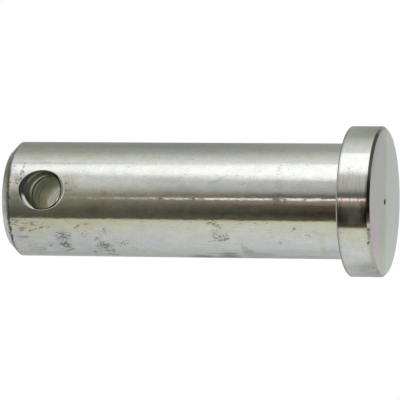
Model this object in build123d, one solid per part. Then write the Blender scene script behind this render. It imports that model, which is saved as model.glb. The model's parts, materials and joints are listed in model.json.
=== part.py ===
from build123d import *
from math import radians, tan
import os

# Clevis pin: one turned steel piece, a plain shank with a flat round head and a cross hole near its tip.
# It stands on its head. The origin is the centre of the head's outer face and +Z runs up the shank to the tip.
# The cross hole runs along Y. All sizes are in millimetres.

# Shank
shank_diameter = 20.0
length_under_head = 60.5
tip_chamfer = 1.5

# Head
head_diameter = 26.0
head_thickness = 5.8
face_edge_chamfer = 0.45
back_edge_chamfer = 0.2
corner_fillet = 0.3

# Cross hole that takes the retaining pin, countersunk at both mouths
cross_hole_diameter = 6.5
cross_hole_from_tip = 7.5
countersink_diameter = 8.2
countersink_angle = 90.0

# How far the cutting form runs past the shank's surface
cutter_overrun = 1.0

shank_radius = shank_diameter / 2
head_radius = head_diameter / 2
overall_length = head_thickness + length_under_head
cross_hole_height = overall_length - cross_hole_from_tip


def turned_body():
    """Head and shank, from half of their outline turned about Z, with a small fillet in the corner under the head."""
    outline = Polyline(
        (0, 0),
        (head_radius - face_edge_chamfer, 0),
        (head_radius, face_edge_chamfer),
        (head_radius, head_thickness - back_edge_chamfer),
        (head_radius - back_edge_chamfer, head_thickness),
        (shank_radius, head_thickness),
        (shank_radius, overall_length - tip_chamfer),
        (shank_radius - tip_chamfer, overall_length),
        (0, overall_length),
        close=True,
    )
    half_section = Plane.XZ * make_face(outline)
    corner = half_section.vertices().sort_by_distance((shank_radius, 0, head_thickness))[0]
    half_section = fillet(corner, corner_fillet)
    return revolve(half_section, Axis.Z)


def countersunk_bore():
    """What the cross hole removes: a bore that opens into a cone at each mouth, turned about the hole's axis.

    The cones have the countersink's diameter where they leave the crown of the shank.
    """
    cone_slope = tan(radians(countersink_angle / 2))
    bore_radius = cross_hole_diameter / 2
    mouth_radius = countersink_diameter / 2
    bore_end = shank_radius - (mouth_radius - bore_radius) / cone_slope
    cutter_end = shank_radius + cutter_overrun
    cutter_radius = mouth_radius + cutter_overrun * cone_slope
    outline = Polyline(
        (0, -cutter_end),
        (cutter_radius, -cutter_end),
        (bore_radius, -bore_end),
        (bore_radius, bore_end),
        (cutter_radius, cutter_end),
        (0, cutter_end),
        close=True,
    )
    cutter = revolve(make_face(outline), Axis.Y)
    return Pos(0, 0, cross_hole_height) * cutter


os.makedirs("parts", exist_ok=True)
clevis_pin = turned_body() - countersunk_bore()
export_step(clevis_pin, "parts/clevis_pin.step")
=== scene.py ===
import json
import math

import bpy
import numpy as np
from mathutils import Matrix, Vector


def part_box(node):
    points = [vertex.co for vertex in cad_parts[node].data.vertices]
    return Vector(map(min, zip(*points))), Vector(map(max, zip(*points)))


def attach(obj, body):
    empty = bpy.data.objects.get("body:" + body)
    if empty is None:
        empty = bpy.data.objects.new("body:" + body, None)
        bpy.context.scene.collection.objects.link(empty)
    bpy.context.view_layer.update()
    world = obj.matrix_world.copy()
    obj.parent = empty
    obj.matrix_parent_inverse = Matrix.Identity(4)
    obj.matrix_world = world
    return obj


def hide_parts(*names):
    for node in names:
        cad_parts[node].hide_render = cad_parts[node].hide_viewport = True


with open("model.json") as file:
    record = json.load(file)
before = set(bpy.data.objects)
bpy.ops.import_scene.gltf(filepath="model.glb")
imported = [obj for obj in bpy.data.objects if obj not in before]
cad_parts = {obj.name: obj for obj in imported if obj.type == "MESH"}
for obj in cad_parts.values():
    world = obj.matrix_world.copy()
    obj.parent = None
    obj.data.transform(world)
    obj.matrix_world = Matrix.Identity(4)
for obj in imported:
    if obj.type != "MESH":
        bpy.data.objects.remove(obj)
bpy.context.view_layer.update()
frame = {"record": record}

MM = 0.001

# Sizes of the pin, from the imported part. It stands on its head, with +Z up the shank and its hole along Y.
pin_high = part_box("clevis_pin")[1]
mounts = {mount["name"]: mount for mount in frame["record"]["mounts"]}
shank_wall = mounts["shank"]["dims"]["length_mm"] * MM
SHANK_RADIUS = mounts["shank"]["dims"]["r_mm"] * MM
SHANK_START = mounts["shank"]["pos_m"][2] - shank_wall / 2
SHANK_END = mounts["shank"]["pos_m"][2] + shank_wall / 2
PIN_LENGTH = pin_high.z
TIP_CHAMFER = PIN_LENGTH - SHANK_END
HEAD_RADIUS = pin_high.x
HEAD_THICKNESS = mounts["head_seat"]["pos_m"][2]
CORNER_FILLET = SHANK_START - HEAD_THICKNESS
BORE_RADIUS = mounts["cross_hole"]["dims"]["r_mm"] * MM
BORE_END = mounts["cross_hole"]["dims"]["length_mm"] * MM / 2
HOLE_HEIGHT = mounts["cross_hole"]["pos_m"][2]
MOUTH_RADIUS = BORE_RADIUS + SHANK_RADIUS - BORE_END
FACE_EDGE_CHAMFER = 0.45 * MM
BACK_EDGE_CHAMFER = 0.2 * MM

# How softly the edges are rounded, and the small dimple that the lathe centre left in the head's face
EDGE_ROUND = 0.08 * MM
MOUTH_EDGE_ROUND = 0.14 * MM
DIMPLE_RADIUS = 0.42 * MM
DIMPLE_DEPTH = 0.25 * MM

# The camera's side of the pin: the near mouth of the hole is turned a little away from the camera
CAMERA_TURN = math.radians(9.3)
TOWARDS = Vector((-math.sin(CAMERA_TURN), -math.cos(CAMERA_TURN), 0))
SIDE = Vector((math.cos(CAMERA_TURN), -math.sin(CAMERA_TURN), 0))

# Material slots of the pin's mesh
SHANK, RIM, FACE, HOLE = range(4)


class Shader:
    """A node tree that is being written. node() adds one node and gives one of its outputs as a Value."""

    def __init__(self, tree):
        self.tree = tree
        tree.nodes.clear()

    def node(self, kind, settings=None, sockets=None, output=0):
        """A node of this type, with its settings first and then the values and links of its sockets."""
        made = self.tree.nodes.new("ShaderNode" + kind)
        for name, value in (settings or {}).items():
            if name == "stops":
                self.set_stops(made.color_ramp, value)
            else:
                setattr(made, name, value)
        for name, value in (sockets or {}).items():
            if isinstance(value, Value):
                self.tree.links.new(value.socket, made.inputs[name])
            else:
                made.inputs[name].default_value = value
        return Value(self, made.outputs[output]) if made.outputs else made

    @staticmethod
    def set_stops(ramp, stops):
        """Gives a colour ramp its stops, each a position and a colour."""
        while len(ramp.elements) > 1:
            ramp.elements.remove(ramp.elements[-1])
        for number, (position, colour) in enumerate(stops):
            element = ramp.elements[0] if number == 0 else ramp.elements.new(position)
            element.position = position
            element.color = (*colour, 1)

    def vector(self, operation, *values):
        """A Vector Math node, read as a number where the operation gives one."""
        sockets = dict(enumerate(values))
        if operation == "SCALE":
            sockets = {0: values[0], "Scale": values[1]}
        output = "Value" if operation in ("DOT_PRODUCT", "LENGTH", "DISTANCE") else "Vector"
        return self.node("VectorMath", {"operation": operation}, sockets, output)

    def part(self, vector, axis):
        """The X, Y or Z of a vector."""
        return self.node("SeparateXYZ", None, {0: vector}, axis)

    def combined(self, x, y):
        """A vector of two numbers and 0."""
        return self.node("CombineXYZ", None, {0: x, 1: y})

    def mix(self, share, first, second):
        """A colour that goes from first to second as share goes from 0 to 1.

        The node's colours are its sockets 6 and 7 and its output 2: others before them have the same names.
        """
        colours = [value if isinstance(value, Value) else (*value, 1) for value in (first, second)]
        settings = {"data_type": "RGBA", "clamp_factor": True}
        return self.node("Mix", settings, {0: share, 6: colours[0], 7: colours[1]}, output=2)

    def layers(self, colour, stains):
        """A colour with stains over it in their order, each its share from 0 to 1 and its colour."""
        for share, stain in stains:
            colour = self.mix(share, colour, stain)
        return colour

    def noise(self, vector, scale, detail, roughness=0.5, warp=0.0):
        """Soft noise round 0.5."""
        return self.node("TexNoise", None, {
            "Vector": vector, "Scale": scale, "Detail": detail, "Roughness": roughness, "Distortion": warp,
        })

    def bump(self, height, depth, strength=0.5):
        """A Bump node, with the depth in metres that goes with a height of 1."""
        return self.node("Bump", None, {"Strength": strength, "Distance": depth, "Height": height})


class Value:
    """One output socket. Python arithmetic on it adds Math nodes, which carry numbers and not colours."""

    def __init__(self, shader, socket):
        self.shader = shader
        self.socket = socket

    def other(self, name):
        """Another output of the same node."""
        return Value(self.shader, self.socket.node.outputs[name])

    def math(self, operation, first, second=0.0, third=0.0):
        """A Math node."""
        return self.shader.node("Math", {"operation": operation}, {0: first, 1: second, 2: third})

    def __add__(self, other):
        return self.math("ADD", self, other)

    def __radd__(self, other):
        return self.math("ADD", other, self)

    def __sub__(self, other):
        return self.math("SUBTRACT", self, other)

    def __rsub__(self, other):
        return self.math("SUBTRACT", other, self)

    def __mul__(self, other):
        return self.math("MULTIPLY", self, other)

    def __rmul__(self, other):
        return self.math("MULTIPLY", other, self)

    def __truediv__(self, other):
        return self.math("DIVIDE", self, other)

    def __rtruediv__(self, other):
        return self.math("DIVIDE", other, self)

    def __abs__(self):
        return self.math("ABSOLUTE", self)

    def highest(self, other):
        return self.math("MAXIMUM", self, other)

    def rising(self, low, high):
        """0 at low, 1 at high and a smooth step between. With low above high it falls instead."""
        sockets = {"Value": self, "From Min": low, "From Max": high}
        return self.shader.node("MapRange", {"interpolation_type": "SMOOTHSTEP"}, sockets)

    def between(self, low, low_full, high_full, high):
        """1 from low_full to high_full, and 0 below low and above high, with smooth steps between."""
        return self.rising(low, low_full) * self.rising(high, high_full)


class PinPlaces:
    """Places on the pin for its materials, in millimetres from Object coordinates.

    The angle goes round the pin's axis in degrees, from 0 at the camera's side up to the side that is up in
    the picture. flat is the shank's wall rolled out: height along the pin, and arc length round it.
    ragged is flat with its places shifted a little, which makes the edges of spots uneven.
    """

    def __init__(self, shader):
        self.shader = shader
        self.point = shader.vector("SCALE", shader.node("TexCoord", output="Object"), 1 / MM)
        self.height = shader.part(self.point, "Z")
        self.side = shader.vector("DOT_PRODUCT", self.point, tuple(SIDE))
        self.towards = shader.vector("DOT_PRODUCT", self.point, tuple(TOWARDS))
        turn = self.side.math("ARCTAN2", self.side, self.towards)
        self.angle = turn * math.degrees(1)
        arc = turn * (SHANK_RADIUS / MM)
        wander = shader.noise(self.point, 1.6, 3.0, 0.6).other("Color")
        wander = shader.vector("SCALE", shader.vector("SUBTRACT", wander, (0.5, 0.5, 0.5)), 0.9)
        self.flat = shader.combined(self.height, arc)
        self.ragged = shader.vector("MULTIPLY", shader.vector("ADD", self.flat, wander), (1, 1, 0))

    @staticmethod
    def rolled_out(height, angle):
        """The point of flat at a height and an angle."""
        return np.array([height, math.radians(angle) * SHANK_RADIUS / MM, 0])

    def stretched(self, along, across):
        """The place for noise that is long one way: along is its scale up the pin, and across round it."""
        return self.shader.vector("MULTIPLY", self.point, (across, across, along))

    def spot(self, height, angle, half_height, half_arc, soft):
        """1 inside an ellipse on the rolled-out wall, fading out over the outer share soft of it."""
        offset = self.shader.vector("SUBTRACT", self.ragged, tuple(self.rolled_out(height, angle)))
        offset = self.shader.vector("MULTIPLY", offset, (1 / half_height, 1 / half_arc, 0))
        return self.shader.vector("LENGTH", offset).rising(1.0, 1.0 - soft)

    def spots(self, places):
        """The strongest of several spots.

        Each is its height, angle, half height, half arc, the share of it that is soft, and its strength.
        """
        total = None
        for *shape, strength in places:
            one = self.spot(*shape) * strength
            total = one if total is None else total.highest(one)
        return total

    def scratch(self, start, end, width):
        """1 along a thin line between two places, each a height and an angle, and 0 from width on."""
        first = self.rolled_out(*start)
        run = self.rolled_out(*end) - first
        offset = self.shader.vector("SUBTRACT", self.flat, tuple(first))
        along = self.shader.vector("DOT_PRODUCT", offset, tuple(run / (run @ run)))
        along = along.math("MINIMUM", along.highest(0.0), 1.0)
        nearest = self.shader.vector("SCALE", tuple(run), along)
        gap = self.shader.vector("DISTANCE", offset, nearest)
        return gap.rising(width, width * 0.3)


def rounded_outline(corners, steps=4):
    """A broken line whose corners are rounded by tangent arcs, and the outward directions along it.

    Each corner is (radius from the axis, height, arc radius). An arc starts and ends
    arc_radius * tan(turn / 2) from its corner, and its points are centre + arc_radius * (cos a, sin a).
    Outward is the line's direction turned a quarter clockwise. Gives rows of (r, z, outward r, outward z).
    """
    corners = np.array(corners, float)
    runs = np.diff(corners[:, :2], axis=0)
    runs /= np.linalg.norm(runs, axis=1)[:, None]
    outward = np.stack([runs[:, 1], -runs[:, 0]], 1)
    rows = [np.concatenate([corners[0, :2], outward[0]])[None]]
    for number, corner in enumerate(corners[1:-1]):
        before, after = runs[number], runs[number + 1]
        turn = math.atan2(before[0] * after[1] - before[1] * after[0], before @ after)
        bend = np.sign(turn) * corner[2]
        start = corner[:2] - before * corner[2] * math.tan(abs(turn) / 2)
        centre = start - outward[number] * bend
        facing = math.atan2(*outward[number][::-1]) + turn * np.linspace(0, 1, steps + 1)
        facing = np.stack([np.cos(facing), np.sin(facing)], 1)
        rows.append(np.hstack([centre + bend * facing, facing]))
    rows.append(np.concatenate([corners[-1, :2], outward[-1]])[None])
    return np.vstack(rows)


def divided(rows, spacing):
    """The same rows with more put between them in equal steps, none of them longer than spacing."""
    gaps = np.linalg.norm(np.diff(rows[:, :2], axis=0), axis=1)
    pieces = np.maximum(1, np.ceil(gaps / spacing).astype(int))
    parts = [np.linspace(a, b, n, endpoint=False) for a, b, n in zip(rows[:-1], rows[1:], pieces)]
    return np.vstack(parts + [rows[-1:]])


# Grid of the turned surface: columns go round the axis and rows go up the outline
COLUMNS = 240
COLUMN_ANGLE = 2 * math.pi / COLUMNS
FACE_ROW_GAP = 0.6 * MM
ROW_GAP = 0.5 * MM
SHANK_ROWS = 72
PAST_FILLET = 0.1 * MM

# Window of that grid round each mouth of the hole, and the rings that fill it, closest together at the rim
MOUTHS = {"near": -math.pi / 2, "far": math.pi / 2}
WINDOW_COLUMNS = 44
WINDOW_ROWS = 52
WINDOW_HALF_HEIGHT = 5.2 * MM
OUTER_RINGS = 16
OUTER_RING_CROWDING = 1.8
CONE_RINGS = 14
RIM_PASSES = 30
SLOPE_STEP = 0.002 * MM

# What the drill left in the bore, each with its depth, width and height in mm: two shallow rings and a burr
DRILL_MARKS = [(-4.6, 0.25, 0.06), (-0.6, 0.3, 0.04), (8.9, 0.3, -0.26)]
BORE_RING_INSET = 0.08 * MM


def turned_outline():
    """Rows of the whole outline, from the head's centre dimple over the rim, up the shank and over the tip.

    Gives the rows, the material slot of each, and the number of the row where the hole's window starts.
    """
    window_low = HOLE_HEIGHT - WINDOW_HALF_HEIGHT
    window_high = HOLE_HEIGHT + WINDOW_HALF_HEIGHT
    face = divided(rounded_outline([
        (0, DIMPLE_DEPTH, 0),
        (DIMPLE_RADIUS, 0, EDGE_ROUND),
        (HEAD_RADIUS - FACE_EDGE_CHAMFER - EDGE_ROUND, 0, 0),
    ]), FACE_ROW_GAP)
    rim = divided(rounded_outline([
        (HEAD_RADIUS - FACE_EDGE_CHAMFER - EDGE_ROUND, 0, 0),
        (HEAD_RADIUS - FACE_EDGE_CHAMFER, 0, EDGE_ROUND),
        (HEAD_RADIUS, FACE_EDGE_CHAMFER, EDGE_ROUND),
        (HEAD_RADIUS, HEAD_THICKNESS - BACK_EDGE_CHAMFER, EDGE_ROUND),
        (HEAD_RADIUS - BACK_EDGE_CHAMFER, HEAD_THICKNESS, EDGE_ROUND),
        (SHANK_RADIUS, HEAD_THICKNESS, CORNER_FILLET),
        (SHANK_RADIUS, SHANK_START + PAST_FILLET, 0),
    ]), ROW_GAP)[1:]
    below_window = np.linspace(rim[-1, 1], window_low, SHANK_ROWS)[1:-1]
    wall = np.concatenate([below_window, np.linspace(window_low, window_high, WINDOW_ROWS + 1)])
    ones = np.ones_like(wall)
    wall = np.stack([SHANK_RADIUS * ones, wall, ones, 0 * ones], 1)
    tip = divided(rounded_outline([
        (SHANK_RADIUS, window_high, 0),
        (SHANK_RADIUS, SHANK_END, EDGE_ROUND),
        (SHANK_RADIUS - TIP_CHAMFER, PIN_LENGTH, EDGE_ROUND),
        (0, PIN_LENGTH, 0),
    ]), ROW_GAP)[1:]
    rows = np.vstack([face, rim, wall, tip])
    slots = np.where(rows[:, 0] > SHANK_RADIUS + CORNER_FILLET + PAST_FILLET, RIM, SHANK)
    slots[:len(face)] = FACE
    return rows, slots, len(rows) - len(tip) - WINDOW_ROWS - 1


def smooth_lower(first, second, width):
    """The lower of two heights, with their crossing rounded where they are less than width apart."""
    overlap = np.maximum(width - np.abs(first - second), 0)
    return np.minimum(first, second) - overlap ** 2 / (4 * width)


def mouth_height(side, up):
    """Distance from the pin's axis of the surface round a mouth: the lower of the shank and the cone.

    side is the distance from the hole's axis square to the pin, and up is the distance along the pin.
    """
    shank = np.sqrt(SHANK_RADIUS ** 2 - side ** 2)
    cone = SHANK_RADIUS - (MOUTH_RADIUS - np.hypot(side, up))
    return smooth_lower(shank, cone, MOUTH_EDGE_ROUND)


def mouth_facing(side, up):
    """Outward direction of that surface: (-dh/dside, 1, -dh/dup) made one long, for its height h."""
    step = SLOPE_STEP
    slope_side = (mouth_height(side + step, up) - mouth_height(side - step, up)) / (2 * step)
    slope_up = (mouth_height(side, up + step) - mouth_height(side, up - step)) / (2 * step)
    facing = np.stack([-slope_side, np.ones_like(side), -slope_up], -1)
    return facing / np.linalg.norm(facing, axis=-1, keepdims=True)


def rim_radius(direction):
    """Radius at which the cone meets the shank, in each direction round the hole.

    It is the r of r = mouth radius - shank radius + sqrt(shank radius ** 2 - (r cos a) ** 2), put in again
    until it settles.
    """
    radius = np.full_like(direction, MOUTH_RADIUS)
    for _ in range(RIM_PASSES):
        side = radius * np.cos(direction)
        radius = MOUTH_RADIUS - SHANK_RADIUS + np.sqrt(SHANK_RADIUS ** 2 - side ** 2)
    return radius


def bore_wall(depth):
    """Radius of the drilled wall at a depth along the hole: the bore's radius and the drill's marks.

    A mark is height * exp(-((depth - place) / width) ** 2).
    """
    radius = BORE_RADIUS + 0 * depth
    for place, width, height in DRILL_MARKS:
        radius = radius + height * MM * np.exp(-((depth - place * MM) / (width * MM)) ** 2)
    return radius


def window_loop(rows, columns):
    """Row and column steps round the window's edge, anticlockwise from its lower corner."""
    low = np.stack([np.zeros(columns, int), np.arange(columns)], 1)
    right = np.stack([np.arange(rows), np.full(rows, columns)], 1)
    top = np.stack([np.full(columns, rows), columns - np.arange(columns)], 1)
    left = np.stack([rows - np.arange(rows), np.zeros(rows, int)], 1)
    return np.vstack([low, right, top, left])


def strips(rings):
    """Quads between each ring of point numbers and the next. Every ring goes round once."""
    here = rings[:-1]
    there = rings[1:]
    quads = np.stack([here, np.roll(here, -1, 1), np.roll(there, -1, 1), there], -1)
    return quads.reshape(-1, 4)


def set_mesh(mesh, points, faces):
    """Fills a mesh from an array of points and arrays of faces, each with its own number of corners."""
    mesh.vertices.add(len(points))
    mesh.vertices.foreach_set("co", points.astype(np.float32).ravel())
    corners = np.concatenate([array.ravel() for array in faces])
    sizes = np.concatenate([np.full(len(array), array.shape[1]) for array in faces])
    mesh.loops.add(len(corners))
    mesh.loops.foreach_set("vertex_index", corners.astype(np.int32))
    mesh.polygons.add(len(sizes))
    mesh.polygons.foreach_set("loop_start", np.concatenate([[0], np.cumsum(sizes)[:-1]]).astype(np.int32))
    mesh.polygons.foreach_set("use_smooth", np.ones(len(sizes), bool))
    mesh.update(calc_edges=True)


def mouth_rings(name, turn, up):
    """Rings from just inside the window's edge, over the mouth's rim and down its cone to the bore.

    Between the window's edge and the rim a ring's points are rim + (edge - rim) * share, where share goes
    from 1 to 0. On the cone a ring's radius goes from the rim's to the bore's. Gives the points, their
    outward directions, and each column's direction round the hole.
    """
    side = SHANK_RADIUS * np.sin(turn)
    direction = np.arctan2(up, side)
    rim = rim_radius(direction)
    rim_turn = np.arcsin(rim * np.cos(direction) / SHANK_RADIUS)
    rim_up = rim * np.sin(direction)
    share = (1 - np.linspace(0, 1, OUTER_RINGS + 1)[1:, None]) ** OUTER_RING_CROWDING
    outer_side = SHANK_RADIUS * np.sin(rim_turn + (turn - rim_turn) * share)
    outer_up = rim_up + (up - rim_up) * share
    cone = rim + (BORE_RADIUS - rim) * np.linspace(0, 1, CONE_RINGS + 1)[1:, None]
    ring_side = np.vstack([outer_side, cone * np.cos(direction)])
    ring_up = np.vstack([outer_up, cone * np.sin(direction)])
    out = mouth_height(ring_side, ring_up)
    facing = mouth_facing(ring_side, ring_up)
    sign = -1 if name == "near" else 1
    points = np.stack([-sign * ring_side, sign * out, HOLE_HEIGHT + ring_up], -1)
    return points, facing * (-sign, sign, 1), direction


def bore_rings(direction):
    """Rings down the bore at the given directions round it, closer together where the drill rings are.

    A point is (r cos a, depth, r sin a) for the wall's radius r, and it faces (-cos a, dr/ddepth, -sin a).
    """
    end = BORE_END - BORE_RING_INSET

    # Stretches of the bore, each with its first and last depth and its number of rings
    stretches = [
        (-end, -5.7 * MM, 14), (-5.6 * MM, -4.2 * MM, 20), (-4.0 * MM, -1.6 * MM, 10),
        (-1.5 * MM, 0.3 * MM, 18), (0.6 * MM, end, 30),
    ]
    depth = np.concatenate([np.linspace(*stretch) for stretch in stretches])[:, None] + 0 * direction
    radius = bore_wall(depth)
    slope = (bore_wall(depth + SLOPE_STEP) - bore_wall(depth - SLOPE_STEP)) / (2 * SLOPE_STEP)
    points = np.stack([radius * np.cos(direction), depth, HOLE_HEIGHT + radius * np.sin(direction)], -1)
    facing = np.stack([-np.cos(direction) + 0 * depth, slope, -np.sin(direction) + 0 * depth], -1)
    return points, facing / np.linalg.norm(facing, axis=-1, keepdims=True)


def turned_grid(across, up):
    """(across cos a, across sin a, up) for each row of the outline and each column's angle a."""
    angle = np.arange(COLUMNS) * COLUMN_ANGLE
    round_axis = np.stack([np.cos(angle), np.sin(angle)], 1)
    level = np.repeat(up[:, None, None], COLUMNS, 1)
    return np.concatenate([across[:, None, None] * round_axis, level], -1)


def pin_mesh():
    """The whole pin as one closed surface.

    The turned surface is (r cos a, r sin a, z) over the angle a and the rows of the outline (r, z).
    A window of that grid round each mouth gives way to rings that go from the window's edge to the mouth's
    rim, down the countersink's cone and through the bore to the other mouth.
    """
    outline, row_slots, window_row = turned_outline()

    # The turned grid, without its two poles
    body = outline[1:-1]
    first_row = window_row - 1
    body_points = turned_grid(body[:, 0], body[:, 1])
    body_facing = turned_grid(body[:, 2], body[:, 3])
    number = np.arange(len(body) * COLUMNS).reshape(len(body), COLUMNS)
    quads = np.stack([number[:-1], np.roll(number[:-1], -1, 1), np.roll(number[1:], -1, 1), number[1:]], -1)
    quad_slots = np.repeat(row_slots[2:-1], COLUMNS).reshape(quads.shape[:2])
    kept = np.ones(quads.shape[:2], bool)

    rings, facings, edges = {}, {}, {}
    for name, centre in MOUTHS.items():
        first_column = round(centre / COLUMN_ANGLE) - WINDOW_COLUMNS // 2
        columns = (first_column + np.arange(WINDOW_COLUMNS)) % COLUMNS
        kept[np.ix_(first_row + np.arange(WINDOW_ROWS), columns)] = False
        steps = window_loop(WINDOW_ROWS, WINDOW_COLUMNS)
        edges[name] = number[first_row + steps[:, 0], (first_column + steps[:, 1]) % COLUMNS]
        turn = (steps[:, 1] - WINDOW_COLUMNS / 2) * COLUMN_ANGLE
        up = body[first_row + steps[:, 0], 1] - HOLE_HEIGHT
        rings[name], facings[name], direction = mouth_rings(name, turn, up)
    bore, bore_facing = bore_rings(direction)

    # The far loop meets the near one mirrored, because both run anticlockwise seen from outside
    size = len(direction)
    mirrored = (WINDOW_COLUMNS - np.arange(size)) % size
    tube_points = np.concatenate([rings["near"], bore, rings["far"][::-1][:, mirrored]])
    tube_facing = np.concatenate([facings["near"], bore_facing, facings["far"][::-1][:, mirrored]])
    tube = number.size + np.arange(tube_points.shape[0] * size).reshape(-1, size)
    near_part = np.vstack([edges["near"], tube[:OUTER_RINGS]])
    far_part = np.vstack([tube[-OUTER_RINGS:], edges["far"][mirrored]])
    hole_part = tube[OUTER_RINGS - 1:len(tube) - OUTER_RINGS + 1]

    foot_pole = number.size + tube.size
    around = np.arange(COLUMNS)
    foot_fan = np.stack([np.full(COLUMNS, foot_pole), number[0][(around + 1) % COLUMNS], number[0]], 1)
    tip_fan = np.stack([np.full(COLUMNS, foot_pole + 1), number[-1], number[-1][(around + 1) % COLUMNS]], 1)
    poles = np.array([[0, 0, outline[0, 1]], [0, 0, outline[-1, 1]]])
    points = np.vstack([body_points.reshape(-1, 3), tube_points.reshape(-1, 3), poles])
    facing = np.vstack([body_facing.reshape(-1, 3), tube_facing.reshape(-1, 3), [(0, 0, -1), (0, 0, 1)]])

    # Each part of the faces with its material slot. Points that no face uses are left out.
    parts = [
        (quads[kept], quad_slots[kept]), (strips(near_part), SHANK), (strips(far_part), SHANK),
        (strips(hole_part), HOLE), (foot_fan, FACE), (tip_fan, SHANK),
    ]
    used = np.zeros(len(points), bool)
    for faces, _ in parts:
        used[faces] = True
    renumbered = np.cumsum(used) - 1
    mesh = bpy.data.meshes.new("clevis_pin_body")
    set_mesh(mesh, points[used], [renumbered[faces] for faces, _ in parts])
    slots = np.concatenate([np.broadcast_to(slot, len(faces)) for faces, slot in parts])
    mesh.polygons.foreach_set("material_index", slots.astype(np.int32))
    mesh.normals_split_custom_set_from_vertices(facing[used])
    return mesh


# Zinc plating on turned steel: its own grey, and the straw, rose and blue that the passivation leaves
ZINC = (0.66, 0.67, 0.65)
ZINC_STRAW = (0.69, 0.675, 0.575)
ZINC_ROSE = (0.695, 0.64, 0.645)
ZINC_BLUE = (0.61, 0.65, 0.68)
BARE_ZINC = (0.90, 0.91, 0.86)
BRIGHT_SCRATCH = (0.95, 0.95, 0.9)

# Stains, dirt, the grey film that handling leaves with a painted contact shadow along the shank's lowest
# edge, and painted shade in the corner under the head
DIRT = (0.075, 0.07, 0.055)
GREY_FILM_AND_SHADOW = (0.15, 0.15, 0.135)
VIOLET = (0.60, 0.545, 0.66)
ORANGE = (0.71, 0.60, 0.43)
ROSE_STAIN = (0.72, 0.58, 0.58)
BLUE_STAIN = (0.58, 0.65, 0.71)
GREEN_STAIN = (0.62, 0.66, 0.46)
RED_STAIN = (0.85, 0.47, 0.42)
BROWN_STAIN = (0.58, 0.545, 0.40)
CORNER_SHADE_GREEN = (0.24, 0.25, 0.19)
TIP_OLIVE = (0.26, 0.25, 0.165)

# Stains and dirt on the head's rim, and painted reflection and shade on it and along its edges
RIM_OLIVE = (0.38, 0.38, 0.29)
RIM_GREY = (0.42, 0.42, 0.37)
BORDER_BROWN = (0.50, 0.33, 0.17)
REFLECTION_END_SHADE = (0.20, 0.18, 0.17)
RIM_SPECK = (0.10, 0.085, 0.07)
EDGE_REFLECTION_DARK = (0.16, 0.15, 0.13)
EDGE_BLACK = (0.035, 0.032, 0.03)
EDGE_OLIVE = (0.17, 0.17, 0.135)
EDGE_GREY = (0.42, 0.41, 0.34)
BEVEL_SHADE = (0.24, 0.26, 0.225)

# Bands and patches of passivation colour on the head's face, a dark line along its edge and painted shade
# inside it
FACE_GREEN = (0.505, 0.54, 0.485)
FACE_WARM = (0.548, 0.552, 0.52)
FACE_ROSE = (0.61, 0.535, 0.55)
FACE_SAGE = (0.565, 0.62, 0.57)
FACE_PALE = (0.60, 0.605, 0.61)
FACE_STRAW = (0.54, 0.58, 0.38)
FACE_BLUE = (0.53, 0.60, 0.60)
FACE_EDGE_OLIVE = (0.20, 0.20, 0.15)
FACE_EDGE_SHADE = (0.26, 0.26, 0.23)

# Dull colours of the bore and its countersinks: painted shade down the bore, painted light at its far end,
# painted highlights on its rings and lip, and painted reflections in the near countersink
BORE_SHADE_NEAR = (0.075, 0.085, 0.042)
BORE_SHADE_DEEP = (0.15, 0.145, 0.085)
BORE_GREEN = (0.085, 0.105, 0.050)
BORE_BROWN = (0.27, 0.215, 0.135)
BORE_PAINTED_LIGHT = (0.59, 0.59, 0.50)
BORE_LOWER = (0.085, 0.085, 0.050)
BORE_SHADE = (0.060, 0.070, 0.036)
GROOVE_HIGHLIGHT = (0.66, 0.68, 0.55)
LIP_HIGHLIGHT = (0.48, 0.49, 0.44)
LIP_SHADOW = (0.04, 0.045, 0.024)
CONE_GREY = (0.42, 0.425, 0.37)
CONE_DIRT_AND_DARK_REFLECTION = (0.055, 0.052, 0.048)
CONE_PAINTED_REFLECTION = (0.93, 0.95, 0.88)
CONE_DUST = (0.42, 0.42, 0.36)
HOLE_EDGE_TINT = (0.86, 0.88, 0.76)


def new_material(name):
    """A material, the shader that writes it and the places on the pin."""
    material = bpy.data.materials.new(name)
    material.use_nodes = True
    shader = Shader(material.node_tree)
    return material, shader, PinPlaces(shader)


def finish_surface(shader, colour, rough, normal, metallic=1.0, edge=(1.0, 1.0, 1.0)):
    """The metal's surface. edge tints what it mirrors at a grazing angle."""
    surface = shader.node("BsdfPrincipled", None, {
        "Base Color": colour, "Metallic": metallic, "Roughness": rough, "Specular Tint": (*edge, 1),
        "Normal": normal,
    })
    shader.node("OutputMaterial", None, {"Surface": surface})


def tinted_zinc(shader, places, strength):
    """Zinc with clouds of straw, rose and blue."""
    clouds = places.stretched(0.16, 0.3)
    straw = shader.noise(clouds, 1.0, 4.0, 0.6)
    other = shader.noise(shader.vector("ADD", clouds, (7.3, 2.1, 5.7)), 1.3, 4.0, 0.6)
    return shader.layers(ZINC, [
        (straw.rising(0.48, 0.75) * strength, ZINC_STRAW), (other.rising(0.54, 0.8) * strength, ZINC_ROSE),
        (other.rising(0.46, 0.22) * strength, ZINC_BLUE),
    ])


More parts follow.
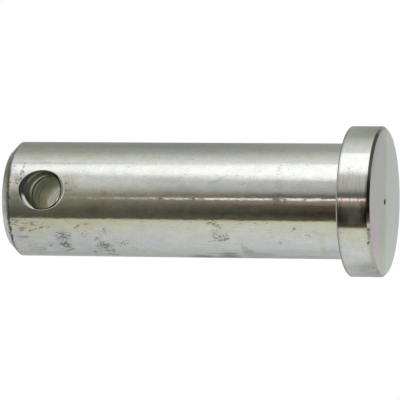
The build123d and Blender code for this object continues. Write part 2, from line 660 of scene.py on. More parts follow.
def shank_stains(shader, places, colour):
    """Stained patches on the shank, most of them near the hole and the tip."""
    violet = [
        (64, 32, 1.3, 1.4, 0.8, 0.6), (60.3, 43.5, 1.7, 1, 0.8, 0.5), (63.6, -39, 1.3, 1.5, 0.7, 0.75),
        (57.9, -53, 1.6, 1.1, 0.8, 0.55), (56.8, -63, 1.8, 1.1, 0.8, 0.5), (64, -24, 1.5, 0.9, 0.8, 0.55),
        (60.6, -24, 1.8, 0.7, 0.8, 0.45), (38.6, -46, 3.2, 1.8, 0.9, 0.4), (50.6, -58, 2.6, 1.6, 0.9, 0.4),
        (52.8, 11, 1.4, 1.7, 0.8, 0.45),
    ]
    orange = [
        (54.7, 22.5, 1.2, 1.7, 0.9, 0.5), (54.1, -25.5, 1.6, 1, 0.8, 0.45),
        (51.6, -25, 2.4, 0.8, 0.8, 0.35), (62, -32, 2.8, 1.3, 0.9, 0.5), (61.5, -46, 2.6, 1.5, 0.9, 0.3),
        (47, 6, 1.2, 1.6, 0.9, 0.3), (26, -21.5, 5, 0.7, 0.9, 0.4),
    ]
    rose = [
        (53.2, 14, 2.4, 1.8, 0.9, 0.6), (63.9, 16, 0.9, 1, 0.8, 0.55), (60.5, -29, 1.9, 1.3, 0.8, 0.35),
        (50.5, -31, 1.8, 2.3, 0.8, 0.4), (62.5, -51, 1.5, 2.1, 0.8, 0.35), (21, -1.5, 9, 0.45, 0.9, 0.5),
    ]
    blue = [
        (62.4, -6, 4.8, 3, 0.6, 0.85), (16, -52, 6.5, 1.7, 0.9, 0.4), (25.4, 55, 1.7, 1.3, 0.9, 0.5),
        (51, -52, 3.2, 1.1, 0.9, 0.45), (57, -41, 2.2, 1.5, 0.9, 0.3), (22, -44, 3, 1.6, 0.9, 0.35),
    ]
    green = [
        (60, -37, 3.2, 1.9, 0.9, 0.4), (60.5, 58, 2.6, 2.2, 0.8, 0.45), (52, 52, 5, 1.6, 0.9, 0.3),
        (12, 50, 4.5, 1.5, 0.9, 0.35), (58.3, -28, 2.2, 1.4, 0.8, 0.55), (59.5, -60, 2.2, 1, 0.8, 0.35),
        (45, -24, 3.4, 1.1, 0.9, 0.35),
    ]
    red = [(11.8, -11, 1.5, 1.3, 0.9, 0.5), (8.2, -11, 1.6, 1.2, 0.9, 0.6)]
    streak = places.scratch((10.6, -31.5), (9.4, -34), 0.6)
    streak = streak.highest(places.scratch((9.2, -35), (9.6, -66), 0.75))
    return shader.layers(colour, [
        (places.spots(violet), VIOLET), (places.spots(orange), ORANGE), (places.spots(rose), ROSE_STAIN),
        (places.spots(blue), BLUE_STAIN), (places.spots(green), GREEN_STAIN),
        (places.spots(red), RED_STAIN), (streak * 0.42, BROWN_STAIN),
    ])


def shank_specks(shader, places):
    """Specks, pinholes and dashes: noise that shows only where a cluster lifts it high enough."""
    clusters = places.spots([
        (55.5, -39.5, 2.9, 2, 0.8, 1.1), (55.3, -52, 2.4, 1.5, 0.9, 1.25), (55, -60, 2, 1.4, 0.8, 0.8),
        (58, -49, 0.9, 1.5, 0.8, 0.8), (49.2, -43, 1.4, 1.3, 0.7, 0.8), (48.3, -52, 2.6, 2, 0.9, 1.15),
        (47.6, -62, 2.6, 1.6, 0.9, 1.05), (44.8, -49, 2.9, 1.5, 0.8, 0.75),
        (43.3, -58, 1.4, 1.4, 0.8, 0.6), (47.8, -33, 1.1, 1.4, 0.8, 0.7), (51.6, -36, 2, 2.2, 0.9, 0.5),
        (28.5, -22, 1.5, 0.75, 0.6, 0.95), (27.5, -26, 1.4, 0.7, 0.6, 0.85),
        (28.2, -37, 1.3, 1.9, 0.8, 0.85), (26.7, -41, 2.4, 2.1, 0.8, 0.85), (62.5, 27, 0.7, 3.2, 0.7, 1),
        (63.3, 19, 1.2, 1.8, 0.8, 0.8), (54.3, 13, 0.9, 2.8, 0.9, 0.75), (16.6, 24, 1, 5, 0.8, 0.55),
        (13.5, -34, 4.5, 2.6, 0.8, 0.35),
    ])
    blobs = shader.noise(places.stretched(2.3, 3.6), 1.0, 3.0, 0.65, 0.3)
    specks = (blobs + clusters * 0.24).rising(0.69, 0.81) * 0.8
    cells = shader.vector("MULTIPLY", places.point, (3.2, 3.2, 2.2))
    cells = shader.node("TexVoronoi", None, {"Vector": cells, "Scale": 1.0})
    chance = shader.part(cells.other("Color"), "X")
    pinholes = cells.rising(0.40, 0.14) * (clusters * 0.6 - 0.004 - chance).rising(0.0, 0.15) * 0.7
    dashed = places.spots([
        (62.6, -24.5, 3.6, 1.5, 0.6, 1), (60, -28.5, 3.2, 1.5, 0.7, 0.9), (62.4, -32, 2.2, 0.9, 0.7, 0.9),
        (50.8, -28, 1.8, 2, 0.8, 0.35), (53.2, 14, 1.4, 2, 0.9, 0.6), (50, -57, 3.2, 1.6, 0.8, 0.55),
        (60.5, -56, 3.5, 2.2, 0.8, 0.55),
    ])
    dashes = shader.noise(places.stretched(0.9, 3.6), 1.0, 3.0, 0.6, 0.2) + dashed * 0.15
    return specks.highest(pinholes).highest(dashes.rising(0.63, 0.74) * 0.55)


def tip_edge_dirt(shader, places):
    """Dirt in the edge between the shank's wall and the tip's chamfer, most of it on the camera's side."""
    line = abs(places.height - (SHANK_END / MM + 0.04))
    line = line + (shader.noise(places.point, 1.3, 4.0, 0.75) - 0.5) * 1.5
    visible = abs(places.angle).rising(80, 60) * 0.3 + abs(places.angle + 10).rising(52, 32) * 0.35
    return line.rising(0.42, 0.10) * (0.3 + visible)


def shank_dirt(shader, places):
    """How dark each place of the shank is: specks, single marks, scratches and dirt in the tip's edge."""
    dirt = shank_specks(shader, places).highest(tip_edge_dirt(shader, places))
    dirt = dirt.highest(places.spots([
        (59.1, -30.1, 0.42, 0.32, 0.7, 0.75), (61.2, -33.6, 0.36, 0.32, 0.7, 0.6),
        (62.6, -30.8, 0.9, 0.26, 0.7, 0.6), (62.4, -41.7, 1.5, 0.6, 0.9, 0.5),
        (55.8, -52, 1.1, 0.55, 0.9, 0.5), (55, -56.5, 0.9, 0.45, 0.8, 0.65),
        (62.7, -33.5, 0.7, 0.4, 0.8, 0.5), (58.1, -54.5, 0.35, 0.6, 0.8, 0.5),
        (60.7, -25.5, 0.3, 0.6, 0.7, 0.5), (50.5, -66, 0.42, 0.42, 0.7, 0.75),
        (49.3, -42, 0.45, 0.4, 0.7, 0.6), (25.9, -41.6, 0.4, 0.4, 0.8, 0.45),
        (14, -28.6, 0.42, 0.36, 0.8, 0.5), (12, -35.6, 0.42, 0.26, 0.8, 0.4),
        (11.4, -36.6, 0.36, 0.26, 0.8, 0.4), (16.7, -46.7, 0.45, 0.36, 0.8, 0.35),
        (17.1, -3.5, 0.4, 0.4, 0.8, 0.5), (64.8, 21.4, 0.4, 0.45, 0.6, 0.8),
        (54.9, 11.9, 0.3, 0.36, 0.6, 0.8), (63, 19.6, 0.6, 0.3, 0.6, 0.6),
    ]))

    # Scratches, each from one place to another, with its width in mm and its strength
    scratches = [
        ((53, -29.8), (52.2, -27), 0.3, 0.45), ((48.9, -47), (48.9, -56), 0.2, 0.4),
        ((55.8, -65), (54.2, -59.8), 0.28, 0.6), ((48.3, -70.5), (46.9, -75.5), 0.36, 0.75),
        ((47.8, -30.9), (47.6, -36), 0.24, 0.3), ((28.3, -24), (26.9, -28), 0.26, 0.3),
        ((29.5, -45.6), (28, -43.2), 0.18, 0.3), ((28, -43.2), (26.4, -42.6), 0.18, 0.3),
        ((30.3, -66.7), (25.2, -66), 0.15, 0.5), ((27.2, -66.2), (25.2, -65.8), 0.3, 0.55),
        ((28.8, 17.4), (27.3, 19.4), 0.18, 0.25), ((27.3, 19.4), (25.8, 25.6), 0.18, 0.22),
        ((54.5, 9), (53.4, 9), 0.16, 0.45), ((62.2, -64.6), (59.4, -62), 0.26, 0.35),
    ]
    for start, end, width, strength in scratches:
        dirt = dirt.highest(places.scratch(start, end, width) * strength)
    return dirt


def shank_film_and_contact_shadow(places):
    """Greyish patches: soft dull ones along the lowest edge, mostly a painted contact shadow with a stain
    among them, and filmy smudges across the bright line.
    """
    return places.spots([
        (31.6, -80, 3.5, 2.3, 0.75, 0.9), (26.8, -77.5, 3, 3, 0.8, 0.8), (29, -84.5, 6.2, 1.6, 0.45, 0.9),
        (33.5, -88, 5, 2, 0.6, 0.45), (22.5, -88, 4.5, 2.4, 0.6, 0.5), (55.6, -46, 2.4, 2.4, 0.9, 0.16),
        (48.6, -55, 2.6, 2, 0.9, 0.14), (27.4, -36, 2.2, 2.6, 0.9, 0.1), (34.5, 9, 6, 1.8, 0.9, 0.16),
        (36, 19, 5, 1.2, 0.9, 0.1), (23.4, -56, 0.9, 0.9, 0.5, 0.3), (22.9, -63, 1.4, 1.4, 0.5, 0.32),
        (22.4, -72, 2.3, 1.6, 0.7, 0.35), (20.4, -70, 3.8, 1.7, 0.7, 0.3), (14, -75, 9, 1.5, 0.8, 0.22),
        (16.6, 35, 0.9, 1.8, 1, 0.06), (16.5, 17, 1.2, 2.4, 1, 0.09), (16.6, 4.5, 1.4, 0.9, 0.8, 0.5),
        (16.8, 1, 1.1, 0.7, 0.7, 0.6), (15.3, 0.8, 0.5, 0.5, 0.8, 0.5), (37.4, 1.4, 1, 0.33, 0.9, 0.75),
        (31.5, 1.4, 0.9, 0.33, 0.9, 0.7), (30.1, 1.4, 0.9, 0.33, 0.9, 0.5),
        (53.8, 17, 2.2, 3.2, 0.9, 0.16), (63.2, 2, 1.8, 2.6, 0.9, 0.14), (47.6, 0, 0.9, 3, 0.9, 0.2),
        (49.5, -9, 2.4, 1.6, 0.9, 0.2),
    ])


def shank_material():
    """The shank and tip: drawn bar, with faint stains, dark pinholes and scratches."""
    material, shader, places = new_material("zinc_shank")
    lines = shader.noise(places.stretched(0.5, 4.0), 1.0, 4.0, 0.65)
    clouds = shader.noise(places.stretched(0.45, 0.8), 1.0, 4.0, 0.65)
    grain = shader.noise(places.stretched(2.5, 4.0), 1.0, 3.0, 0.6)
    shade = 1.0 + (lines - 0.5) * 0.14 + (clouds - 0.5) * 0.30 + (grain - 0.5) * 0.2
    colour = shank_stains(shader, places, tinted_zinc(shader, places, 0.55))
    colour = shader.vector("SCALE", colour, shade)
    # Painted shade, greenish, in the corner where the shank meets the head
    corner = abs(places.height - HEAD_THICKNESS / MM).rising(0.55, 0.15)

    # The tip's chamfer is stained on the camera's side, and bare below it
    end = places.height.rising(PIN_LENGTH / MM - 0.06, PIN_LENGTH / MM - 0.02)
    chamfer = places.height.rising(SHANK_END / MM + 0.02, SHANK_END / MM + 0.16) * (1.0 - end)
    stained = chamfer * places.angle.between(-30, -10, 40, 70)
    stained = stained * (0.35 + places.height.rising(66.0, 65.3) * 0.45) * clouds.rising(0.2, 0.45)
    bare = chamfer * places.angle.between(-140, -100, -26, -14)
    # Grey film smudges, and a painted contact shadow along the lowest edge
    film_and_shadow = shank_film_and_contact_shadow(places) * places.angle.rising(-94, -84)
    dirt = shank_dirt(shader, places)

    # A thin bright scratch below the hole
    bright = places.scratch((62.9, -17.8), (61.4, -16.3), 0.18)
    colour = shader.layers(colour, [
        (corner * 0.6, CORNER_SHADE_GREEN), (stained, TIP_OLIVE), (bare * 0.8, BARE_ZINC), (film_and_shadow, GREY_FILM_AND_SHADOW),
        (dirt, DIRT), (bright * 0.8, BRIGHT_SCRATCH),
    ])

    # The tip's end is duller
    rough = 0.065 + (clouds - 0.3).highest(0.0) * 0.11 + dirt * 0.3 + film_and_shadow * 0.15 + end * 0.2

    # Thin dust, which shows where the metal mirrors something dark
    dust = shader.noise(places.stretched(0.3, 0.7), 1.0, 4.0, 0.7, 0.5).rising(0.44, 0.66) * 0.022
    dust = dust + places.spots([(44.5, -11, 5.0, 2.0, 0.9, 0.02), (37.0, -12, 4.0, 1.6, 0.9, 0.015)])
    waves = shader.noise(places.stretched(0.5, 1.0), 1.0, 3.0, 0.6)
    bump = shader.bump(waves + lines * 0.12 + grain * 0.04, 0.024 * MM)
    finish_surface(shader, colour, rough, bump, 1.0 - dust)
    return material


def rim_edge_painted_reflection(shader, places):
    """Layers of painted dark reflection on the rim along the edge of the face: black towards the camera, and
    olive above.
    """
    ragged = (shader.noise(places.stretched(1.6, 1.0), 1.0, 4.0, 0.65) - 0.5) * 0.7
    low = (places.height + ragged).rising(0.95, 0.5)
    above = places.height.rising(0.55, 0.3) * places.angle.between(20, 40, 80, 95)
    below = (places.height + ragged * 0.6).rising(1.1, 0.2) * places.angle.between(-68, -50, -18, -12)
    return [
        (low * places.angle.between(-18, -13, 10, 26) * 0.85, EDGE_REFLECTION_DARK),
        (low * places.angle.between(-17, -14, -8, -2) * 0.8, EDGE_BLACK),
        (above * 0.75, EDGE_OLIVE),
        (below * 0.4, EDGE_GREY),
    ]


def rim_specks(shader, places):
    """Single marks, and specks where the rim mirrors a border between light and dark."""
    marks = places.spots([
        (0.25, -21.7, 0.4, 0.42, 0.7, 0.8), (0.55, -32.8, 0.42, 0.42, 0.7, 0.95),
        (0.3, -15, 0.45, 0.5, 0.7, 0.6), (0.3, -26, 0.28, 1.2, 0.8, 0.5),
        (0.5, -60.5, 0.4, 0.4, 0.9, 0.35), (4.7, 1.3, 0.22, 0.45, 0.8, 0.6),
        (3.3, 1.6, 0.3, 0.4, 0.8, 0.45), (1.9, 1.5, 0.22, 0.45, 0.8, 0.55), (5, -24.4, 0.6, 0.2, 0.8, 0.3),
    ])
    specks = shader.noise(places.stretched(3.4, 3.0), 1.0, 3.0, 0.65, 0.4)
    band = places.spots([
        (3.2, 23, 3, 1.3, 0.8, 1), (3, 5, 3, 1.2, 0.8, 0.9), (3.2, -17, 2.8, 0.7, 0.8, 0.8),
        (4.8, 17, 0.8, 3.5, 0.8, 0.7),
    ])
    return marks.highest((specks + band * 0.14).rising(0.62, 0.8) * 0.42)


def rim_material():
    """The head's rim: turned, with fine lines round it that show most on the side turned to the camera."""
    material, shader, places = new_material("zinc_head_rim")
    lines = shader.noise(places.stretched(4.0, 0.35), 1.0, 4.0, 0.7)
    clouds = shader.noise(places.point, 0.7, 4.0, 0.65)
    mottle = shader.noise(places.stretched(1.6, 1.9), 1.0, 3.0, 0.65, 0.4)
    shown = abs(places.angle - 8).rising(26, 12)
    lower = places.angle.rising(-15, -24)
    shade = 1.0 + (lines - 0.5) * (0.12 + shown * 0.6) + (clouds - 0.5) * 0.28
    shade = shade + (mottle - 0.5) * (0.1 + lower * 0.3)
    colour = shader.vector("SCALE", tinted_zinc(shader, places, 0.9), shade)
    pink = places.spots([
        (4.4, 1.4, 0.9, 0.6, 0.8, 0.7), (1.3, 1.4, 0.9, 0.6, 0.8, 0.7), (4.2, 9, 1.5, 2.2, 0.9, 0.35),
    ])

    # Olive stain at the top and grey at the bottom, stronger towards the face
    olive = places.angle.rising(46, 72) * places.height.rising(5.4, 1.0) * 0.45
    grey = places.angle.rising(-44, -60) * places.height.rising(5.4, 1.2) * clouds.rising(0.25, 0.55) * 0.8

    # A brown line along the lower border of the dark reflection, and the darker ends of that reflection
    # painted into the colour
    brown = places.spots([(3.2, -18, 3.0, 0.45, 0.6, 0.6), (4.8, -16.5, 0.9, 0.8, 0.8, 0.5)])
    ends = places.spots([(5.0, -9, 0.9, 2.2, 0.8, 0.55), (1.0, -8, 0.9, 2.6, 0.8, 0.7)])

    # The bevel at the back of the head is darkened with painted shade
    back = HEAD_THICKNESS / MM
    bevel = places.height.rising(back - BACK_EDGE_CHAMFER / MM - 0.45, back - 0.1)
    # The layers along the face's edge are a painted dark reflection
    colour = shader.layers(colour, [
        (pink, ROSE_STAIN), (olive, RIM_OLIVE), (grey, RIM_GREY), (brown, BORDER_BROWN),
        (ends, REFLECTION_END_SHADE), *rim_edge_painted_reflection(shader, places), (rim_specks(shader, places), RIM_SPECK),
        (bevel * 0.75, BEVEL_SHADE),
    ])
    dust = places.spots([(2.9, -14.5, 1.3, 1.3, 0.8, 0.07), (2.3, -11.5, 1.7, 1.4, 0.9, 0.05)])
    rough = 0.08 + (lines - 0.4).highest(0.0) * 0.1
    bump = shader.bump(clouds + lines * 0.3 * shown + mottle * 0.35, 0.012 * MM)
    finish_surface(shader, colour, rough, bump, 1.0 - dust - lines.rising(0.5, 0.7) * shown * 0.02)
    return material


def face_patches(shader, ragged, patches):
    """The strongest of several soft ellipses on the face.

    Each is its place sideways and towards the camera, its half size both ways, and its strength.
    """
    total = None
    for side, towards, half_side, half_towards, strength in patches:
        offset = shader.vector("SUBTRACT", ragged, (side, towards, 0))
        offset = shader.vector("MULTIPLY", offset, (1 / half_side, 1 / half_towards, 0))
        patch = shader.vector("LENGTH", offset).rising(1.0, 0.1) * strength
        total = patch if total is None else total.highest(patch)
    return total


def face_material():
    """The head's flat face, with bands of passivation colour and a dark nick at its centre."""
    material, shader, places = new_material("zinc_head_face")
    wander = (shader.noise(places.point, 0.22, 3.0) - 0.5) * 4.0
    band = places.towards + wander
    rose = band.rising(3.0, 6.0) * places.side.between(-12.0, -8.5, -3.0, 1.5)
    ragged = shader.combined(places.side + wander * 0.25, places.towards + wander * 0.2)
    straw = face_patches(shader, ragged, [
        (5.2, 7.2, 2.4, 3.4, 1), (1.2, 2.2, 2.8, 2, 0.7), (-9.6, 1.2, 4.6, 2.4, 0.95),
        (-4.5, 0.2, 5, 1.6, 0.5),
    ])
    blue = face_patches(shader, ragged, [
        (-10.5, 5.5, 3, 2.4, 0.6), (7.6, 3.5, 3.2, 3, 0.8), (-8, -4.6, 5, 2.6, 0.65), (3, 2, 2.4, 3, 0.4),
    ])
    colour = shader.mix(band.rising(1.2, 4.0), FACE_GREEN, FACE_WARM)
    colour = shader.layers(colour, [
        (rose, FACE_ROSE), (band.rising(0.2, -2.5), FACE_SAGE), (band.rising(-3.5, -7.5), FACE_PALE),
        (straw, FACE_STRAW), (blue, FACE_BLUE),
    ])
    pale = places.side.rising(-1.0, -8.0) * places.towards.rising(3.0, -2.0)
    grain = shader.noise(places.point, 6.0, 4.0, 0.7)
    clouds = shader.noise(places.point, 0.5, 3.0, 0.6)
    dull = band.rising(-2.5, 1.0) * places.side.rising(-10.0, -5.0)
    shade = 1.0 + pale * 0.1 + places.side.rising(-7.0, -12.0) * 0.08 - dull * 0.15
    colour = shader.vector("SCALE", colour, shade + (grain - 0.5) * 0.12 + (clouds - 0.5) * 0.24)
    nick = shader.vector("LENGTH", shader.vector("MULTIPLY", ragged, (1.0, 0.55, 0))).rising(0.7, 0.2)

    # A dark olive line just inside the near edge, and painted shade fading in from that edge
    out = shader.vector("LENGTH", shader.combined(places.side, places.towards))
    face_edge = (HEAD_RADIUS - FACE_EDGE_CHAMFER) / MM
    camera_side = places.towards.rising(1.0, 5.0)
    near = out.rising(face_edge - 0.7, face_edge) * camera_side * places.side.rising(-5.0, -1.5)
    soft = out.rising(face_edge - 3.5, face_edge) * camera_side * places.side.rising(2.0, 6.0)
    colour = shader.layers(colour, [
        (nick, DIRT), (near * 0.75, FACE_EDGE_OLIVE), (soft * 0.45, FACE_EDGE_SHADE),
    ])
    finish_surface(shader, colour, 0.16 + nick * 0.4, shader.bump(grain, 0.003 * MM))
    return material


def bore_colour(shader, places, across, depth, direction, blotches):
    """The drilled wall: painted shade in olive, lighter deeper in, brown in its middle and painted light at
    the far end, with painted highlights on the drill's marks.
    """
    inward = depth + (blotches - 0.5) * 2.6
    green = shader.noise(places.point, 0.55, 3.0, 0.6).rising(0.45, 0.62)
    # Painted light from the far mouth, at the far end of the bore
    light = inward.rising(3.4, 6.4) * direction.rising(100, 84)
    lower = across.rising(1.2, -0.6) * inward.between(-3.0, 1.0, 4.0, 5.6)
    shade = across.rising(0.9, 2.6) * depth.rising(4.4, 2.0)
    # Painted highlights along two of the drill's rings, from the tip's side up
    groove_highlights = []
    for place, width, strength in ((-5.4, 0.85, 0.95), (-3.5, 0.4, 0.5)):
        groove_highlight = abs(depth - place).rising(width, width * 0.35) * direction.between(-30, 30, 70, 92)
        groove_highlights.append((groove_highlight * strength, GROOVE_HIGHLIGHT))
    # A painted highlight along the upper lip where the near countersink meets the bore
    lip_highlight = abs(depth + 8.6).rising(0.7, 0.25) * direction.between(18, 34, 78, 92)
    shadow = abs(depth + 7.0).rising(1.0, 0.4) * direction.rising(10, 35)
    # Painted shade: darkest near the camera's mouth and lighter deeper in
    colour = shader.mix(inward.rising(-2.0, 1.5), BORE_SHADE_NEAR, BORE_SHADE_DEEP)
    return shader.layers(colour, [
        (green * 0.5, BORE_GREEN), (inward.between(0.5, 2.5, 4.4, 6.2) * 0.6, BORE_BROWN),
        (light, BORE_PAINTED_LIGHT), (lower * 0.45, BORE_LOWER), (shade * 0.75, BORE_SHADE), *groove_highlights,
        (lip_highlight * 0.9, LIP_HIGHLIGHT), (shadow * 0.5, LIP_SHADOW),
    ])


def hole_material():
    """The bore and its countersinks: dull olive painted shade, with the drill's rings, and painted light
    towards the far mouth.

    The direction goes round the hole's axis in degrees: 0 towards the tip and 90 up in the picture.
    """
    material, shader, places = new_material("zinc_hole")
    across = shader.part(places.point, "X")
    depth = shader.part(places.point, "Y")
    along = places.height - HOLE_HEIGHT / MM
    from_axis = shader.vector("LENGTH", shader.combined(across, along))
    direction = across.math("ARCTAN2", across, along) * math.degrees(1)
    blotches = shader.noise(places.point, 0.8, 4.0, 0.65)
    rings = shader.noise(shader.vector("MULTIPLY", places.point, (0.15, 2.6, 0.15)), 1.0, 4.0, 0.7)
    colour = bore_colour(shader, places, across, depth, direction, blotches)

    # The near countersink: stained dark, partly dirt and partly a painted dark reflection, with a painted
    # bright reflection along its lower left, and dusty on its right
    near_end = BORE_END / MM
    mouth = MOUTH_RADIUS / MM
    cones = abs(depth).rising(near_end - 0.1, near_end + 0.1)
    near = cones * depth.rising(0.0, -1.0)
    inner = from_axis + abs(direction + 38).rising(14, 44) * -0.42
    outside = from_axis.rising(mouth - 0.25, mouth - 0.5).highest(direction.rising(-52, -74))
    bright = near * inner.rising(mouth - 0.95, mouth - 0.65) * outside
    bright = bright * direction.between(-130, -85, -24, -6)
    dusty = near * abs(direction).rising(122, 150) * abs(from_axis - (mouth - 0.75)).rising(0.1, 0.22)
    colour = shader.layers(colour, [
        (cones, CONE_GREY), (near, CONE_DIRT_AND_DARK_REFLECTION), (bright, CONE_PAINTED_REFLECTION), (dusty, CONE_DUST),
    ])
    uneven = 1.0 + (rings - 0.5) * 1.3 * (1.0 - cones) + (blotches - 0.5) * 0.8
    colour = shader.vector("SCALE", colour, uneven)
    rough = 0.3 - cones * 0.16
    bump = shader.bump(rings, 0.03 * MM, 0.6)
    finish_surface(shader, colour, rough, bump, 1.0 - dusty * 0.85, HOLE_EDGE_TINT)
    return material


# Tints of the surroundings
PALE = (1.0, 1.0, 0.99)
MOSS = (0.98, 1.0, 0.94)
SAGE = (0.975, 1.0, 0.90)
STRAW = (1.01, 1.0, 0.80)
HAY = (1.02, 1.0, 0.74)
OLIVE = (1.05, 1.0, 0.70)
RUSSET = (1.17, 1.0, 0.82)
COOL = (0.975, 1.0, 0.985)

# The three rings of the surroundings: angle round the pin's axis, brightness and tint. The first stops were
# worked out from the photo's grey values across the shank, and then changed.
HEAD_END_RING = [
    (-180, 0.48, PALE), (-158, 0.48, COOL), (-148, 0.55, COOL), (-138, 0.61, COOL), (-120, 0.6, COOL),
    (-110, 0.73, COOL), (-90, 0.82, COOL), (-72, 0.77, MOSS), (-58, 0.76, SAGE), (-46, 0.75, STRAW),
    (-41.6, 0.68, HAY), (-40.2, 0.09, OLIVE), (-35, 0.085, OLIVE), (-30, 0.03, RUSSET),
    (-24, 0.036, RUSSET), (-15, 0.07, RUSSET), (-10, 0.085, RUSSET), (-5, 0.23, RUSSET), (0, 0.4, RUSSET),
    (5, 0.125, RUSSET), (9, 0.11, PALE), (12, 0.17, PALE), (15, 0.34, PALE), (20, 0.51, PALE),
    (30, 0.58, PALE), (39, 0.69, PALE), (47, 1.5, PALE), (78, 1.5, PALE), (80, 1, PALE), (100, 0.76, MOSS),
    (120, 0.48, SAGE), (172, 0.38, SAGE),
]
MIDDLE_RING = [
    (-180, 0.45, COOL), (-160, 0.46, COOL), (-135, 0.58, COOL), (-110, 0.7, COOL), (-90, 0.76, COOL),
    (-60, 0.8, SAGE), (-46, 0.75, STRAW), (-41.2, 0.69, HAY), (-39.4, 0.11, OLIVE), (-34, 0.105, OLIVE),
    (-25, 0.074, OLIVE), (-15, 0.115, OLIVE), (-5, 0.18, RUSSET), (0, 0.27, RUSSET), (5, 0.22, RUSSET),
    (10, 0.235, STRAW), (15, 0.365, STRAW), (20, 0.5, MOSS), (30, 0.65, MOSS), (40, 0.72, PALE),
    (45, 0.86, PALE), (50, 1.08, PALE), (54, 1.42, PALE), (70, 1.4, PALE), (74.8, 1.26, PALE),
    (76.3, 0.98, PALE), (77.8, 1.04, PALE), (80, 0.95, PALE), (90, 0.82, MOSS), (110, 0.465, MOSS),
    (135, 0.325, MOSS), (172, 0.32, MOSS),
]
TIP_END_RING = [
    (-180, 0.5, COOL), (-140, 0.48, COOL), (-130, 0.57, COOL), (-90, 0.64, COOL), (-70, 0.66, MOSS),
    (-45, 0.63, HAY), (-40.6, 0.61, HAY), (-38.8, 0.09, OLIVE), (-35, 0.1, OLIVE), (-20, 0.14, OLIVE),
    (-10, 0.215, OLIVE), (0, 0.25, OLIVE), (10, 0.355, OLIVE), (20, 0.56, STRAW), (30, 0.78, MOSS),
    (38, 0.82, MOSS), (46, 0.75, PALE), (51, 0.88, PALE), (57, 1.15, PALE), (63, 1.33, PALE),
    (70, 1.28, PALE), (74, 1.08, PALE), (76.5, 0.76, MOSS), (79, 0.82, MOSS), (82, 0.93, MOSS),
    (90, 0.76, SAGE), (110, 0.46, SAGE), (135, 0.34, SAGE), (172, 0.33, SAGE),
]
SLIT_LIGHT = (1.40, 1.28, 1.22)
FAINT_SLIT_LIGHT = (0.50, 0.36, 0.29)
LOW_CARD_DARK = (0.055, 0.052, 0.045)
LOW_CARD_GREY = (0.21, 0.21, 0.18)
LOW_CARD_PALE = (0.70, 0.70, 0.65)
BEHIND_GREY = (0.64, 0.64, 0.635)
OVERHEAD_PALE = (0.95, 0.95, 0.94)


def studio():
    """The surroundings that the metal mirrors, as brightness over the angle round the pin's axis.

    The angle is 0 towards the camera and grows towards the side that is up in the picture. Of the three
    rings, the head's end of the pin mirrors the lowest, and its tip the highest. Below them is a low card,
    which the head's face mirrors.
    """
    world = bpy.data.worlds.new("studio")
    bpy.context.scene.world = world
    world.use_nodes = True
    shader = Shader(world.node_tree)
    ray = shader.node("TexCoord", output="Generated")
    side = shader.vector("DOT_PRODUCT", ray, tuple(SIDE))
    towards = shader.vector("DOT_PRODUCT", ray, tuple(TOWARDS))
    up = shader.part(ray, "Z")
    degrees_round = side.math("ARCTAN2", side, towards) * math.degrees(1)
    share = degrees_round / 360 + 0.5

    def ring(stops):
        """Colours over the angle. A ramp holds no more than 1, so it holds half of them."""
        placed = []
        for degrees, bright, tint in stops:
            placed.append(((degrees + 180) / 360, tuple(bright * part / 2 for part in tint)))
        return shader.vector("SCALE", shader.node("ValToRGB", {"stops": placed}, {"Fac": share}), 2.0)

    def level(degrees):
        """Height of a ray that rises by so many degrees."""
        return math.sin(math.radians(degrees))

    bands = shader.mix(up.rising(level(12.3), level(14.6)), ring(HEAD_END_RING), ring(MIDDLE_RING))
    bands = shader.mix(up.rising(level(15.0), level(16.2)), bands, ring(TIP_END_RING))

    # A narrow slit of light, the thin bright line along the shank, and a faint one below it near the head
    slit = abs(degrees_round - 2.8).rising(1.9, 1.1) * up.rising(level(15.12), level(14.85))
    near_head = up.between(level(12.5), level(12.6), level(13.1), level(13.6))
    faint = abs(degrees_round + 6.4).rising(1.4, 0.5) * near_head

    # The low card, something grey behind the pin, and a pale ceiling
    card = shader.mix(side.rising(0.2, 0.7), LOW_CARD_DARK, LOW_CARD_GREY)
    card = shader.mix(side.rising(-0.12, -0.30), card, LOW_CARD_PALE)
    low = up.rising(level(-20), level(-26))
    behind = up.between(level(-26), level(-20), level(-8), level(2)) * towards.rising(-0.8, -0.93)
    overhead = up.rising(level(24), level(40)) * towards.rising(-0.5, -0.1)
    bands = shader.layers(bands, [
        (slit, SLIT_LIGHT), (faint * 0.7, FAINT_SLIT_LIGHT), (low, card), (behind, BEHIND_GREY),
        (overhead, OVERHEAD_PALE),
    ])
    surroundings = shader.node("Background", None, {"Color": bands, "Strength": 1.0})
    white = shader.node("Background", None, {"Color": (1, 1, 1, 1), "Strength": 1.0})
    seen = shader.node("LightPath", output="Is Camera Ray")
    either = shader.node("MixShader", None, {0: seen, 1: surroundings, 2: white})
    shader.node("OutputWorld", None, {"Surface": either})


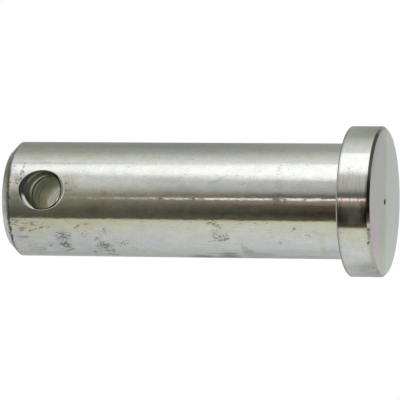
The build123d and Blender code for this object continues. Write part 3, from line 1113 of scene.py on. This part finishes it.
def add_floor():
    """A pale floor that fades out with distance, as rings about the pin's axis from under the head's edge.

    It has one side: from below it isn't there, so the camera looks past it at the head's face.
    """
    inner = HEAD_RADIUS - FACE_EDGE_CHAMFER - EDGE_ROUND
    outer = 500 * MM
    rings = 24
    columns = 96
    radii = np.geomspace(inner, outer, rings)[:, None]
    angle = np.linspace(0, 2 * math.pi, columns, endpoint=False)
    points = np.stack([radii * np.cos(angle), radii * np.sin(angle), np.zeros((rings, columns))], -1)
    number = np.arange(rings * columns).reshape(rings, columns)
    mesh = bpy.data.meshes.new("floor")
    set_mesh(mesh, points.reshape(-1, 3), [strips(number)[:, ::-1]])
    floor = bpy.data.objects.new("floor", mesh)
    bpy.context.scene.collection.objects.link(floor)
    material = bpy.data.materials.new("pale_floor")
    material.use_nodes = True
    shader = Shader(material.node_tree)
    place = shader.node("TexCoord", output="Object")
    distance = shader.vector("LENGTH", place)
    pale = shader.node("BsdfDiffuse", None, {"Color": (0.86, 0.86, 0.85, 1)})
    white = shader.node("Emission", None, {"Color": (1, 1, 1, 1), "Strength": 1.0})
    clear = shader.node("BsdfTransparent")

    # The camera sees it nearly white, and whiter further out
    seen = shader.node("LightPath", output="Is Camera Ray")
    whiteness = 0.35 + distance.rising(0.03, 0.2) * 0.65
    lit = shader.node("MixShader", None, {0: seen * whiteness, 1: pale, 2: white})

    # It is clear from below, far out, and where the pin mirrors the part that it touches
    touching = seen.other("Is Glossy Ray") * seen.other("Ray Length").rising(2.5 * MM, 1.5 * MM)
    below = shader.node("NewGeometry", output="Backfacing")
    hidden = 1.0 - (1.0 - below) * (1.0 - touching) * (1.0 - distance.rising(0.15, 0.45))
    surface = shader.node("MixShader", None, {0: hidden, 1: lit, 2: clear})
    shader.node("OutputMaterial", None, {"Surface": surface})
    mesh.materials.append(material)
    floor.visible_shadow = False


def add_camera():
    """The camera sees the pin lying across the picture, from the side and a little from under the head.

    Its right, up and back directions are those towards the head, up in the picture and towards the camera,
    after a yaw and a roll. It looks past the middle of the corner under the head, by the shifts given.
    """
    towards_head = Vector((0, 0, -1))
    yaw = math.radians(14.49)
    roll = math.radians(-0.50)
    distance = 717.3 * MM
    across = 26.2 * MM
    upward = -0.26 * MM
    focal_pixels = 4159.0
    picture_pixels = 400.0
    level_right = towards_head * math.cos(yaw) - TOWARDS * math.sin(yaw)
    right = level_right * math.cos(roll) - SIDE * math.sin(roll)
    up = level_right * math.sin(roll) + SIDE * math.cos(roll)
    back = towards_head * math.sin(yaw) + TOWARDS * math.cos(yaw)
    corner = Vector((0, 0, HEAD_THICKNESS))
    lens = bpy.data.cameras.new("camera")
    lens.sensor_width = 36.0
    lens.lens = focal_pixels / picture_pixels * lens.sensor_width
    lens.clip_start = 0.01
    lens.clip_end = 50.0
    camera = bpy.data.objects.new("camera", lens)
    bpy.context.scene.collection.objects.link(camera)
    place = corner - right * across - up * upward + back * distance
    turned = Matrix((right, up, back)).transposed().to_4x4()
    camera.matrix_world = Matrix.Translation(place) @ turned
    bpy.context.scene.camera = camera


def add_pin():
    """The finished pin, which takes the place of the plain one."""
    pin = bpy.data.objects.new("clevis_pin_finished", pin_mesh())
    bpy.context.scene.collection.objects.link(pin)
    for make in (shank_material, rim_material, face_material, hole_material):
        pin.data.materials.append(make())
    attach(pin, "root")
    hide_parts("clevis_pin")


bpy.context.scene.view_settings.view_transform = "Standard"
add_pin()
add_floor()
studio()
add_camera()
